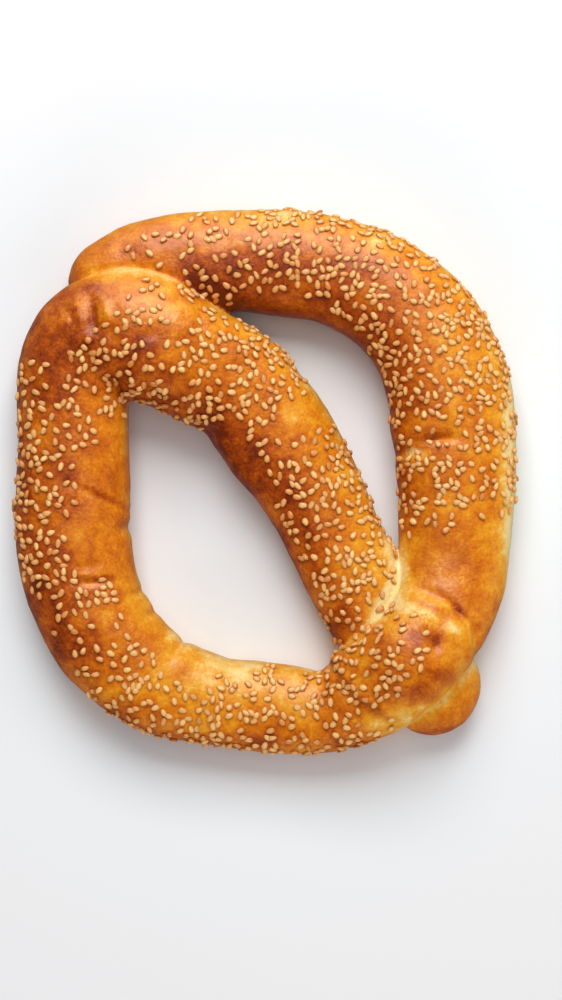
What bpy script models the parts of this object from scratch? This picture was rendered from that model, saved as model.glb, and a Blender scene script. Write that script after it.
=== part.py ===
"""A simit: one rope of dough laid in a hoop, bent back over its own end and led across to a knot.

Run it with blender --background --python part.py. Units are metres and +Z is up. The bread lies on z = 0 as it
lay on the baking tray, with the middle of its outline over the origin.

The rope is one skin swept along a smooth curve. Where the rope lies on itself the skin passes through itself,
and a voxel remesh melts the crossing strands into one solid. The tray then cuts the round underside flat.
"""

import bmesh
import bpy
import numpy as np

MM = 0.001

# Stops along the rope in millimetres: x, y, half width and height of the crown. They run from the tucked end,
# clockwise round the hoop, over the knot and up the left side, round the bend and down to the loose end.
ROPE_STOPS_MM = (
    (-69.4, 62.4, 14.8, 24.0),
    (-42.0, 76.0, 17.8, 26.0),
    (-13.0, 79.2, 18.0, 27.0),
    (12.0, 77.9, 18.8, 28.5),
    (34.6, 71.4, 19.5, 30.0),
    (54.0, 56.6, 20.9, 31.5),
    (64.9, 34.9, 21.9, 32.0),
    (68.2, 5.0, 21.6, 31.5),
    (67.8, -20.0, 20.2, 30.0),
    (64.6, -41.8, 19.3, 33.0),
    (53.3, -60.7, 18.4, 41.0),
    (34.5, -76.6, 17.9, 33.0),
    (24.5, -82.6, 14.9, 28.0),
    (10.8, -82.9, 15.7, 25.0),
    (-14.0, -80.0, 15.9, 25.0),
    (-38.2, -73.2, 17.9, 27.0),
    (-58.3, -55.2, 19.9, 29.5),
    (-68.3, -30.0, 20.5, 30.5),
    (-69.5, 0.0, 20.2, 31.0),
    (-69.4, 25.0, 19.8, 31.5),
    (-64.8, 45.9, 22.0, 35.0),
    (-48.0, 51.8, 24.2, 39.5),
    (-30.0, 44.8, 21.0, 38.0),
    (-12.0, 34.6, 20.5, 33.0),
    (3.8, 16.4, 19.9, 31.0),
    (17.0, -5.0, 18.1, 29.0),
    (28.0, -28.0, 17.2, 27.5),
    (42.5, -53.6, 17.8, 25.0),
    (72.4, -86.2, 17.8, 23.0),
)
SECTION_POWER = 2.3  # the rope's section is a superellipse: 2 is an ellipse, more is boxier
SUNK = 3.0 * MM  # how far the round underside would reach below the tray, before it is cut flat
RING_GAP = 2.5 * MM  # between sections along the rope
RING_SIDES = 32
END_RINGS = 7  # extra sections that round each end of the rope
VOXEL = 2.0 * MM
KEPT_FACES = 0.21  # share of the remeshed faces that the decimation keeps
TRAY_SIZE = (0.30, 0.30, 0.02)

CRUST_COLOUR = (0.50, 0.20, 0.045, 1.0)
CRUST_ROUGHNESS = 0.42


def clear_scene():
    """Removes the objects that the file starts with."""
    for item in list(bpy.data.objects):
        bpy.data.objects.remove(item, do_unlink=True)


def crust_material():
    """The baked crust: a golden brown dielectric with a soft gloss."""
    material = bpy.data.materials.new("crust")
    material.use_nodes = True
    shader = material.node_tree.nodes["Principled BSDF"]
    shader.inputs["Base Color"].default_value = CRUST_COLOUR
    shader.inputs["Roughness"].default_value = CRUST_ROUGHNESS
    shader.inputs["Metallic"].default_value = 0.0
    material.diffuse_color = CRUST_COLOUR
    return material


def natural_spline(knots, values, at):
    """Values at the distances `at` on the natural cubic spline through `values` at `knots`."""
    count = len(knots)
    gaps = np.diff(knots)
    slopes = np.diff(values, axis=0) / gaps[:, None]
    system = np.eye(count)
    load = np.zeros_like(values)
    for i in range(1, count - 1):
        system[i, i - 1 : i + 2] = gaps[i - 1], 2.0 * (gaps[i - 1] + gaps[i]), gaps[i]
        load[i] = 6.0 * (slopes[i] - slopes[i - 1])
    bend = np.linalg.solve(system, load)
    span = np.clip(np.searchsorted(knots, at, side="right") - 1, 0, count - 2)
    gap = gaps[span][:, None]
    before = (at - knots[span])[:, None]
    after = gap - before
    curved = (bend[span] * after**3 + bend[span + 1] * before**3) / (6.0 * gap)
    start = (values[span] / gap - bend[span] * gap / 6.0) * after
    end = (values[span + 1] / gap - bend[span + 1] * gap / 6.0) * before
    return curved + start + end


def ring_places(length, start_radius, end_radius):
    """Distances along the rope of its sections: even between the ends, and closer where an end is rounded."""
    turn = np.linspace(0.0, np.pi / 2.0, END_RINGS + 1)
    nose = 1.0 - np.cos(turn)
    middle_count = int((length - start_radius - end_radius) / RING_GAP)
    middle = np.linspace(start_radius, length - end_radius, middle_count)
    return np.concatenate([start_radius * nose[:-1], middle, length - end_radius * nose[-2::-1]])


def rope_sections():
    """Centre, sideways direction, half width and crown of each section, with both ends rounded like noses."""
    stops = np.array(ROPE_STOPS_MM) * MM
    steps = np.diff(stops[:, :2], axis=0)
    knots = np.concatenate([[0.0], np.cumsum(np.hypot(steps[:, 0], steps[:, 1]))])
    start_radius = stops[0, 2]
    end_radius = stops[-1, 2]
    places = ring_places(knots[-1], start_radius, end_radius)
    values = natural_spline(knots, stops, places)
    centre = values[:, :2]
    along = np.gradient(centre, places, axis=0)
    along /= np.hypot(along[:, 0], along[:, 1])[:, None]
    side = np.stack([-along[:, 1], along[:, 0]], axis=1)
    from_start = np.clip(1.0 - places / start_radius, 0.0, 1.0)
    from_end = np.clip(1.0 - (knots[-1] - places) / end_radius, 0.0, 1.0)
    nose = np.sqrt((1.0 - from_start**2) * (1.0 - from_end**2))
    return centre, side, values[:, 2], values[:, 3], nose


def rope_rings():
    """The points of the sections between the rope's two tips, as an array of rings, and the two tips."""
    centre, side, half_width, crown, nose = rope_sections()
    turn = np.linspace(0.0, 2.0 * np.pi, RING_SIDES, endpoint=False)
    across = np.sign(np.cos(turn)) * np.abs(np.cos(turn)) ** (2.0 / SECTION_POWER)
    up = np.sign(np.sin(turn)) * np.abs(np.sin(turn)) ** (2.0 / SECTION_POWER)
    middle = (crown - SUNK) / 2.0
    half_height = (crown + SUNK) / 2.0
    flat = centre[:, None, :] + side[:, None, :] * (half_width * nose)[:, None, None] * across[None, :, None]
    level = middle[:, None] + (half_height * nose)[:, None] * up[None, :]
    rings = np.concatenate([flat, level[:, :, None]], axis=2)
    tips = np.concatenate([centre, middle[:, None]], axis=1)[[0, -1]]
    return rings[1:-1], tips


def centred(rings, tips):
    """The same points moved so that the middle of their outline is over the origin."""
    points = np.concatenate([rings.reshape(-1, 3), tips])
    middle = (points.min(axis=0) + points.max(axis=0)) / 2.0
    middle[2] = 0.0
    return rings - middle, tips - middle


def rope_mesh():
    """The rope's closed skin: quads between the rings, and a fan of triangles round each tip."""
    rings, tips = centred(*rope_rings())
    skin = bmesh.new()
    loops = [[skin.verts.new(point) for point in ring] for ring in rings]
    first_tip = skin.verts.new(tips[0])
    last_tip = skin.verts.new(tips[1])
    for here, there in zip(loops, loops[1:]):
        for i in range(RING_SIDES):
            j = (i + 1) % RING_SIDES
            skin.faces.new((here[i], here[j], there[j], there[i]))
    for i in range(RING_SIDES):
        j = (i + 1) % RING_SIDES
        skin.faces.new((first_tip, loops[0][j], loops[0][i]))
        skin.faces.new((last_tip, loops[-1][i], loops[-1][j]))
    bmesh.ops.recalc_face_normals(skin, faces=skin.faces)
    mesh = bpy.data.meshes.new("simit")
    skin.to_mesh(mesh)
    skin.free()
    return mesh


def tray_cutter():
    """A box whose top is the tray's surface, for cutting the underside flat."""
    bpy.ops.mesh.primitive_cube_add(size=1.0, location=(0.0, 0.0, -TRAY_SIZE[2] / 2.0))
    tray = bpy.context.active_object
    tray.name = "tray_cutter"
    tray.scale = TRAY_SIZE
    bpy.ops.object.transform_apply(location=False, rotation=False, scale=True)
    tray.hide_render = True
    tray.display_type = "WIRE"
    return tray


def bake_as_one(bread, tray):
    """Melts the crossing strands into one solid, thins its faces and cuts its underside flat."""
    melt = bread.modifiers.new("melt", "REMESH")
    melt.mode = "VOXEL"
    melt.voxel_size = VOXEL
    thin = bread.modifiers.new("thin", "DECIMATE")
    thin.decimate_type = "COLLAPSE"
    thin.ratio = KEPT_FACES
    thin.use_collapse_triangulate = True
    flatten = bread.modifiers.new("flatten", "BOOLEAN")
    flatten.operation = "DIFFERENCE"
    flatten.solver = "EXACT"
    flatten.object = tray


def main():
    """Builds the bread and the cutter that gives it its flat base."""
    clear_scene()
    bread = bpy.data.objects.new("simit", rope_mesh())
    bpy.context.collection.objects.link(bread)
    bread.data.materials.append(crust_material())
    bake_as_one(bread, tray_cutter())


main()
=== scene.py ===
"""Looks of a knotted sesame bread: the baked skin of its dough rope, its sesame, and a pale studio round it.

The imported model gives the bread's place and size. One rope of dough is swept along its route, melted
together where it crosses itself, and given the dents, folds and wrinkles of the baked loaf. Each point of
that skin knows how far along and across the rope it lies, so the seams and the sesame follow the dough.
"""

import logging
import math
from dataclasses import dataclass, field
from enum import Enum, IntEnum
from typing import Any, Optional, Union

import bpy
import numpy as np
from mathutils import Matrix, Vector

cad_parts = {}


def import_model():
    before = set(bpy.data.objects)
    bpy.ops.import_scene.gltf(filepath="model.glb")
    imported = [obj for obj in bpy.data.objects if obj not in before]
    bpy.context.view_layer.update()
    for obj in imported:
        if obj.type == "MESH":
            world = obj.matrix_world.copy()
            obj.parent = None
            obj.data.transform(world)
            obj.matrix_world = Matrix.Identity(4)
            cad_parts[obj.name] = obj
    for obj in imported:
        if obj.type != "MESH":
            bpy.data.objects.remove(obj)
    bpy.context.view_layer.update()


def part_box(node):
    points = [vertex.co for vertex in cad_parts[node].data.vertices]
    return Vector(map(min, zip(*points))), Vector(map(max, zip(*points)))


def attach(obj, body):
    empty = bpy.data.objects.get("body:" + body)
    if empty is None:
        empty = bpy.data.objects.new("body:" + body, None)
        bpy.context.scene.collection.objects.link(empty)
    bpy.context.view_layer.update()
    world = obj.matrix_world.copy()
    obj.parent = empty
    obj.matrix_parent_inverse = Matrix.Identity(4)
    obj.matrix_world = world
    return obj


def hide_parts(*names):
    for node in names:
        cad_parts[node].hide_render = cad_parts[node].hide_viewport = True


LOG = logging.getLogger("bread")

MM = 0.001
BREAD_NODE = "simit"

Array = np.ndarray
Number = Union[int, float]
Colour = tuple[float, float, float]


# ---- Shader writing ----


class Signal:
    """A shader socket that takes part in Python arithmetic: each operator adds the Math node that does it."""

    def __init__(self, recipe: "Recipe", socket: bpy.types.NodeSocket) -> None:
        """Wraps a socket of a recipe's tree."""
        self.recipe = recipe
        self.socket = socket

    def _math(self, operation: str, first: "Feed", second: "Feed") -> "Signal":
        """Adds a Math node of two inputs and returns its result."""
        return self.recipe.node("ShaderNodeMath", {"operation": operation}, {0: first, 1: second})

    def __add__(self, other: "Feed") -> "Signal":
        """self + other"""
        return self._math("ADD", self, other)

    def __radd__(self, other: "Feed") -> "Signal":
        """other + self"""
        return self._math("ADD", other, self)

    def __sub__(self, other: "Feed") -> "Signal":
        """self - other"""
        return self._math("SUBTRACT", self, other)

    def __rsub__(self, other: "Feed") -> "Signal":
        """other - self"""
        return self._math("SUBTRACT", other, self)

    def __mul__(self, other: "Feed") -> "Signal":
        """self * other"""
        return self._math("MULTIPLY", self, other)

    def __rmul__(self, other: "Feed") -> "Signal":
        """other * self"""
        return self._math("MULTIPLY", other, self)

    def at_least(self, other: "Feed") -> "Signal":
        """The larger of the two."""
        return self._math("MAXIMUM", self, other)

    def ramp(self, low: float, high: float) -> "Signal":
        """A smooth step, which falls instead of rising where high is below low.

        Args:
            low: where it is 0.
            high: where it is 1.

        Returns:
            The step.
        """
        settings = {"interpolation_type": "SMOOTHSTEP", "clamp": True}
        values = {"Value": self, "From Min": low, "From Max": high, "To Min": 0.0, "To Max": 1.0}
        if high < low:
            values.update({"From Min": high, "From Max": low, "To Min": 1.0, "To Max": 0.0})
        return self.recipe.node("ShaderNodeMapRange", settings, values, "Result")


Feed = Union[Signal, Number, tuple[float, ...]]


class Recipe:
    """A material under construction: its node tree, and the few ways of adding to it."""

    def __init__(self, name: str) -> None:
        """Starts a material that holds one Principled shader.

        Args:
            name: the material's name.
        """
        self.material = bpy.data.materials.new(name)
        self.material.use_nodes = True
        self.tree = self.material.node_tree
        self.shader = self.tree.nodes["Principled BSDF"]

    def node(
        self,
        kind: str,
        settings: Optional[dict[str, Any]] = None,
        values: Optional[dict[Any, Feed]] = None,
        output: Union[int, str] = 0,
    ) -> Signal:
        """Adds a node.

        Args:
            kind: the node's type name.
            settings: its own properties, set first; "stops" holds a colour ramp's (place, colour) pairs.
            values: a number, colour or signal for each input, by index, name or identifier.
            output: the output that is wanted, by index or name.

        Returns:
            The wanted output as a signal.
        """
        made = self.tree.nodes.new(kind)
        for key, value in (settings or {}).items():
            if key == "stops":
                self._set_stops(made.color_ramp, value)
            else:
                setattr(made, key, value)
        for key, value in (values or {}).items():
            self._feed(self._input(made, key), value)
        return Signal(self, made.outputs[output])

    def mix(self, share: Feed, first: Feed, second: Feed) -> Signal:
        """Mixes two colours.

        Args:
            share: how much of the second colour shows, 0 to 1.
            first: the colour underneath.
            second: the colour on top.

        Returns:
            The mixed colour.
        """
        settings = {"data_type": "RGBA", "clamp_factor": True}
        values = {"Factor_Float": share, "A_Color": first, "B_Color": second}
        return self.node("ShaderNodeMix", settings, values, 2)

    def attribute(self, name: str) -> Signal:
        """A number that the mesh stores at its points."""
        return self.node("ShaderNodeAttribute", {"attribute_name": name}, {}, "Fac")

    def place(self, stretch: tuple[float, float, float] = (1.0, 1.0, 1.0)) -> Signal:
        """The point's place on the object in metres, with each axis stretched."""
        spot = self.node("ShaderNodeTexCoord", {}, {}, "Object")
        return self.node("ShaderNodeMapping", {}, {"Vector": spot, "Scale": stretch})

    def noise(self, at: Signal, size: float, detail: float = 3.0, roughness: float = 0.55) -> Signal:
        """Soft noise from 0 to 1.

        Args:
            at: where it is read.
            size: the width of its largest features, in metres.
            detail: how many finer layers it has.
            roughness: how strong the finer layers are.

        Returns:
            The noise.
        """
        values = {"Vector": at, "Scale": 1.0 / size, "Detail": detail, "Roughness": roughness}
        return self.node("ShaderNodeTexNoise", {"noise_dimensions": "3D"}, values, "Fac")

    def specks(self, at: Signal, size: float, reach: float) -> Signal:
        """Round specks.

        Args:
            at: where they are read.
            size: the size in metres of a cell, which has one speck.
            reach: a speck's radius in cells.

        Returns:
            1 at the middle of a speck, falling to 0 at its edge.
        """
        values = {"Vector": at, "Scale": 1.0 / size}
        away = self.node("ShaderNodeTexVoronoi", {"feature": "F1"}, values, "Distance")
        return away.ramp(reach, 0.0)

    def bump(self, height: Feed, depth: float) -> Signal:
        """The surface's normal, bent by a relief: height is 0 to 1, and depth its size in metres."""
        return self.node("ShaderNodeBump", {}, {"Height": height, "Distance": depth, "Strength": 1.0})

    def dress(self, **finish: Feed) -> bpy.types.Material:
        """Sets the shader's inputs.

        Args:
            finish: a number, colour or signal for each input, named with _ for a space.

        Returns:
            The material.
        """
        for key, value in finish.items():
            self._feed(self.shader.inputs[key.replace("_", " ")], value)
        return self.material

    def _feed(self, socket: bpy.types.NodeSocket, value: Feed) -> None:
        """Links a signal to a socket, or sets the socket's own value.

        Args:
            socket: the input.
            value: a signal, colour, vector or number.
        """
        if isinstance(value, Signal):
            self.tree.links.new(value.socket, socket)
        elif isinstance(value, tuple) and socket.type == "RGBA":
            socket.default_value = (*value[:3], 1.0)
        else:
            socket.default_value = value

    @staticmethod
    def _input(made: bpy.types.Node, key: Union[int, str]) -> bpy.types.NodeSocket:
        """Finds one of a node's inputs.

        Args:
            made: the node.
            key: the input's index, identifier or name.

        Returns:
            The input.
        """
        if isinstance(key, int):
            return made.inputs[key]
        named = [socket for socket in made.inputs if socket.identifier == key]
        return named[0] if named else made.inputs[key]

    @staticmethod
    def _set_stops(ramp: bpy.types.ColorRamp, stops: tuple[tuple[float, Colour], ...]) -> None:
        """Gives a colour ramp its stops.

        Args:
            ramp: the ramp, with no more stops than are given.
            stops: (place, colour) pairs in rising order.
        """
        while len(ramp.elements) < len(stops):
            ramp.elements.new(1.0)
        for element, (place, colour) in zip(ramp.elements, stops):
            element.position = place
            element.color = (*colour, 1.0)


# ---- Shape tools ----


class DoughNoise:
    """Smooth noise from a seeded lattice of random numbers, blended over each cell."""

    SIDE = 32
    SHIFT = 7.3

    def __init__(self, seed: int) -> None:
        """Draws the lattice."""
        self.lattice = np.random.default_rng(seed).uniform(-1.0, 1.0, (self.SIDE,) * 3)

    def at(self, points: Array, size: float) -> Array:
        """Noise of about -1 to 1: the eight corners of a cell, each weighted by 3t^2 - 2t^3 along each axis.

        Args:
            points: N by 3 places in metres.
            size: a cell's side in metres.

        Returns:
            N numbers.
        """
        scaled = points / size
        cell = np.floor(scaled).astype(int)
        share = scaled - cell
        share = share * share * (3.0 - 2.0 * share)
        total = np.zeros(len(points))
        for corner in np.ndindex(2, 2, 2):
            weight = np.prod(np.where(corner, share, 1.0 - share), axis=1)
            i, j, k = ((cell + corner) % self.SIDE).T
            total += weight * self.lattice[i, j, k]
        return total

    def layers(self, points: Array, size: float, count: int) -> Array:
        """Noise with finer layers, each shifted, half as wide and half as strong as the one before."""
        return sum(self.at(points + self.SHIFT * size * n, size / 2**n) / 2**n for n in range(count))


def smooth_step(values: Array, low: float, high: float) -> Array:
    """3t^2 - 2t^3 of the share t of the way from low to high, held at 0 and 1 outside."""
    share = np.clip((values - low) / (high - low), 0.0, 1.0)
    return share * share * (3.0 - 2.0 * share)


def squared_gaps(these: Array, those: Array) -> Array:
    """The squared distance |a|^2 + |b|^2 - 2ab from each of these points a to each of those points b."""
    return (these**2).sum(axis=1)[:, None] + (those**2).sum(axis=1) - 2.0 * these @ those.T


def signed_power(values: Array, power: float) -> Array:
    """|v|^power of each value v, with the sign of v."""
    return np.sign(values) * np.abs(values) ** power


def natural_spline(knots: Array, values: Array, at: Array) -> Array:
    """The natural cubic spline through values at knots: a cubic between knots, with no bend at either end.

    Args:
        knots: M rising distances.
        values: M by K values.
        at: the distances that are wanted.

    Returns:
        len(at) by K values.
    """
    gaps = np.diff(knots)
    slopes = np.diff(values, axis=0) / gaps[:, None]
    system = np.eye(len(knots))
    inner = np.arange(1, len(knots) - 1)
    system[inner, inner - 1] = gaps[:-1]
    system[inner, inner] = 2.0 * (gaps[:-1] + gaps[1:])
    system[inner, inner + 1] = gaps[1:]
    load = np.zeros_like(values)
    load[1:-1] = 6.0 * np.diff(slopes, axis=0)
    bend = np.linalg.solve(system, load)
    span = np.clip(np.searchsorted(knots, at, side="right") - 1, 0, len(knots) - 2)
    gap = gaps[span][:, None]
    before = (at - knots[span])[:, None]
    after = gap - before
    curved = (bend[span] * after**3 + bend[span + 1] * before**3) / (6.0 * gap)
    start = (values[span] / gap - bend[span] * gap / 6.0) * after
    end = (values[span + 1] / gap - bend[span + 1] * gap / 6.0) * before
    return curved + start + end


def tube_faces(rings: int, sides: int) -> tuple[Array, Array]:
    """Faces of a closed tube: quads between neighbouring rings, and a fan of triangles round each tip.

    Args:
        rings: how many rings of points there are, numbered one after another. The two tips come last.
        sides: how many points a ring has.

    Returns:
        The corner numbers of the quads and of the triangles.
    """
    ring, side = np.meshgrid(np.arange(rings - 1), np.arange(sides), indexing="ij")
    here, there = ring * sides, (ring + 1) * sides
    after = (side + 1) % sides
    quads = np.stack([here + side, here + after, there + after, there + side]).reshape(4, -1).T
    first = np.arange(sides)
    second = (first + 1) % sides
    last = (rings - 1) * sides
    start_fan = np.stack([np.full(sides, rings * sides), second, first], axis=1)
    end_fan = np.stack([np.full(sides, rings * sides + 1), last + first, last + second], axis=1)
    return quads, np.concatenate([start_fan, end_fan])


def new_mesh(name: str, points: Array, quads: Array, triangles: Array) -> bpy.types.Mesh:
    """A smooth-shaded mesh from arrays.

    Args:
        name: the mesh's name.
        points: N by 3 places.
        quads: M by 4 corner numbers.
        triangles: K by 3 corner numbers.

    Returns:
        The mesh.
    """
    mesh = bpy.data.meshes.new(name)
    mesh.vertices.add(len(points))
    mesh.vertices.foreach_set("co", np.ascontiguousarray(points, dtype=np.float32).ravel())
    corners = np.concatenate([quads.ravel(), triangles.ravel()]).astype(np.int32)
    sizes = np.concatenate([np.full(len(quads), 4), np.full(len(triangles), 3)])
    starts = np.concatenate([[0], np.cumsum(sizes)[:-1]]).astype(np.int32)
    mesh.loops.add(len(corners))
    mesh.loops.foreach_set("vertex_index", corners)
    mesh.polygons.add(len(sizes))
    mesh.polygons.foreach_set("loop_start", starts)
    mesh.polygons.foreach_set("use_smooth", np.ones(len(sizes), dtype=bool))
    mesh.update(calc_edges=True)
    mesh.validate()
    return mesh


def store(mesh: bpy.types.Mesh, name: str, values: Array) -> None:
    """Stores a number at each point of a mesh, for its material to read."""
    layer = mesh.attributes.new(name, "FLOAT", "POINT")
    layer.data.foreach_set("value", np.ascontiguousarray(values, dtype=np.float32))


def point_array(mesh: bpy.types.Mesh, key: str = "co") -> Array:
    """Reads a mesh's points.

    Args:
        mesh: the mesh.
        key: "co" for their places, "normal" for their normals.

    Returns:
        An N by 3 array.
    """
    found = np.empty(len(mesh.vertices) * 3, dtype=np.float32)
    mesh.vertices.foreach_get(key, found)
    return found.reshape(-1, 3).astype(float)


def number_array(mesh: bpy.types.Mesh, name: str) -> Array:
    """Reads what store() left at a mesh's points.

    Args:
        mesh: the mesh.
        name: the name the numbers are stored under.

    Returns:
        N numbers.
    """
    found = np.empty(len(mesh.vertices), dtype=np.float32)
    mesh.attributes[name].data.foreach_get("value", found)
    return found.astype(float)


def new_piece(name: str, mesh: bpy.types.Mesh, material: bpy.types.Material) -> bpy.types.Object:
    """Makes an object at the origin.

    Args:
        name: its name.
        mesh: its mesh.
        material: the only material it wears.

    Returns:
        The object.
    """
    piece = bpy.data.objects.new(name, mesh)
    bpy.context.scene.collection.objects.link(piece)
    mesh.materials.clear()
    mesh.materials.append(material)
    return piece


# ---- The dough rope ----


class Leg(IntEnum):
    """The stretches of the rope, in order. A leg crosses only the one two places from it."""

    TOP = 0
    KNOT = 1
    BEND = 2
    CROSSING = 3


@dataclass(frozen=True)
class Block:
    """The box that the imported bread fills."""

    low: Array
    high: Array

    @property
    def centre(self) -> Array:
        """The middle of the box."""
        return (self.low + self.high) / 2.0

    @property
    def half(self) -> Array:
        """Half of the box's size."""
        return (self.high - self.low) / 2.0

    def shares(self, points: Array) -> tuple[Array, Array]:
        """How far points lie right and up from the middle, as shares of the half width and length."""
        moved = (points[:, :2] - self.centre[:2]) / self.half[:2]
        return moved[:, 0], moved[:, 1]


@dataclass(frozen=True)
class Sections:
    """The rope's cross-sections in order.

    Attributes:
        along: distance from the tucked end.
        centre: the middle, seen from above.
        ahead, side: the unit directions along the rope and to its outer side.
        half_width: half of the width.
        crown: the height of the top above the tray.
        nose: the share of the girth that is left at a rounded end, 1 along the middle.
    """

    along: Array
    centre: Array
    ahead: Array
    side: Array
    half_width: Array
    crown: Array
    nose: Array


@dataclass(frozen=True)
class OnRope:
    """Where points of the skin lie on the rope.

    Attributes:
        along: distance from the tucked end, in metres.
        across: share of the half width, 1 on the outer side and -1 on the inner.
        leg: the stretch that the point belongs to.
        seam: distance to the surface of the stretch that crosses it, in metres.
    """

    along: Array
    across: Array
    leg: Array
    seam: Array


@dataclass
class Rope:
    """The rope of dough: its route and girth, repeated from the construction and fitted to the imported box.

    Attributes:
        block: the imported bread's box.
        stops_mm: the stops along the rope: place to the right and up, half width and crown height.
        leg_ends: where each leg ends, as a share of the rope's length.
        section_power: the power of the superellipse that a section is.
        sunk: how far below the tray the sections reach, so that the underside comes out flat.
        ring_gap: distance between sections.
        end_rings: how many sections a rounded end has.
        sides: how many points a section has.
        slimmest: the least share of its girth that a section counts as, at the ends.
        overrun: how far beyond a leg's ends a point may lie and still count as beside it.
        sections: the sections, fitted to the box.
    """

    block: Block
    stops_mm: tuple[tuple[float, float, float, float], ...] = (
        (-69.4, 62.4, 14.8, 24.0),
        (-42.0, 76.0, 17.8, 26.0),
        (-13.0, 79.2, 18.0, 27.0),
        (12.0, 77.9, 18.8, 28.5),
        (34.6, 71.4, 19.5, 30.0),
        (54.0, 56.6, 20.9, 31.5),
        (64.9, 34.9, 21.9, 32.0),
        (68.2, 5.0, 21.6, 31.5),
        (67.8, -20.0, 20.2, 30.0),
        (64.6, -41.8, 19.3, 33.0),
        (53.3, -60.7, 18.4, 41.0),
        (34.5, -76.6, 17.9, 33.0),
        (24.5, -82.6, 14.9, 28.0),
        (10.8, -82.9, 15.7, 25.0),
        (-14.0, -80.0, 15.9, 25.0),
        (-38.2, -73.2, 17.9, 27.0),
        (-58.3, -55.2, 19.9, 29.5),
        (-68.3, -30.0, 20.5, 30.5),
        (-69.5, 0.0, 20.2, 31.0),
        (-69.4, 25.0, 19.8, 31.5),
        (-64.8, 45.9, 22.0, 35.0),
        (-48.0, 51.8, 24.2, 39.5),
        (-30.0, 44.8, 21.0, 38.0),
        (-12.0, 34.6, 20.5, 33.0),
        (3.8, 16.4, 19.9, 31.0),
        (17.0, -5.0, 18.1, 29.0),
        (28.0, -28.0, 17.2, 27.5),
        (42.5, -53.6, 17.8, 25.0),
        (72.4, -86.2, 17.8, 23.0),
    )
    leg_ends: tuple[float, ...] = (0.29, 0.52, 0.81, 1.0)
    section_power: float = 2.3
    sunk: float = 3.0 * MM
    ring_gap: float = 1.0 * MM
    end_rings: int = 16
    sides: int = 112
    slimmest: float = 0.05
    overrun: float = 2.0 * MM
    sections: Sections = field(init=False)

    def __post_init__(self) -> None:
        """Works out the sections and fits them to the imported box."""
        self.sections = self._fitted(self._cut(np.array(self.stops_mm) * MM))

    @property
    def length(self) -> float:
        """The rope's length along its middle."""
        return float(self.sections.along[-1])

    def _places(self, length: float, start: float, end: float) -> Array:
        """Spaces the sections evenly along the rope, and by r(1 - cos a) along its rounded ends of radius r.

        Args:
            length: the rope's length.
            start: the radius of its first end.
            end: the radius of its last end.

        Returns:
            The sections' distances from the tucked end.
        """
        nose = 1.0 - np.cos(np.linspace(0.0, np.pi / 2.0, self.end_rings + 1))
        middle = np.linspace(start, length - end, int((length - start - end) / self.ring_gap))
        return np.concatenate([start * nose[:-1], middle, length - end * nose[-2::-1]])

    def _cut(self, stops: Array) -> Sections:
        """Cuts the natural spline through the stops into sections, with noses sqrt(1 - u^2) at both ends.

        Args:
            stops: place to the right and up, half width and crown height of each stop, in metres.

        Returns:
            The sections.
        """
        steps = np.diff(stops[:, :2], axis=0)
        knots = np.concatenate([[0.0], np.cumsum(np.hypot(steps[:, 0], steps[:, 1]))])
        start, end = stops[0, 2], stops[-1, 2]
        along = self._places(knots[-1], start, end)
        values = natural_spline(knots, stops, along)
        ahead = np.gradient(values[:, :2], along, axis=0)
        ahead /= np.hypot(ahead[:, 0], ahead[:, 1])[:, None]
        side = np.stack([-ahead[:, 1], ahead[:, 0]], axis=1)
        from_start = np.clip(1.0 - along / start, 0.0, 1.0)
        from_end = np.clip(1.0 - (knots[-1] - along) / end, 0.0, 1.0)
        nose = np.sqrt((1.0 - from_start**2) * (1.0 - from_end**2))
        return Sections(along, values[:, :2], ahead, side, values[:, 2], values[:, 3], nose)

    def _fitted(self, cut: Sections) -> Sections:
        """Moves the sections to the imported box's middle, and makes the highest as high as the box.

        Args:
            cut: the sections.

        Returns:
            The moved sections.
        """
        reach = cut.side * (cut.half_width * cut.nose)[:, None]
        outline = np.concatenate([cut.centre + reach, cut.centre - reach])
        middle = (outline.min(axis=0) + outline.max(axis=0)) / 2.0
        centre = cut.centre - middle + self.block.centre[:2]
        crown = cut.crown * (self.block.high[2] / cut.crown.max())
        return Sections(cut.along, centre, cut.ahead, cut.side, cut.half_width, crown, cut.nose)

    def skin(self, swell: Array, relief: Array, turn: Array) -> Array:
        """The rope's surface: each section is a superellipse |a|^p + |b|^p = 1 across and up.

        Args:
            swell: a factor on each section's size.
            relief: how far each point stands out of its section, rings by sides, in metres.
            turn: the angles of the points round a section.

        Returns:
            Rings by sides by 3 places.
        """
        cut = self.sections
        across = signed_power(np.cos(turn), 2.0 / self.section_power)
        up = signed_power(np.sin(turn), 2.0 / self.section_power)
        girth = cut.nose * swell
        wide = (cut.half_width * girth)[:, None] * across + relief * np.cos(turn)
        half_height = (cut.crown + self.sunk) / 2.0
        level = (half_height - self.sunk)[:, None] + (half_height * girth)[:, None] * up
        level += relief * np.sin(turn)
        flat = cut.centre[:, None, :] + cut.side[:, None, :] * wide[:, :, None]
        return np.concatenate([flat, level[:, :, None]], axis=2)

    def _leg_numbers(self) -> Array:
        """The leg of each section."""
        return np.searchsorted(np.array(self.leg_ends) * self.length, self.sections.along)

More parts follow.
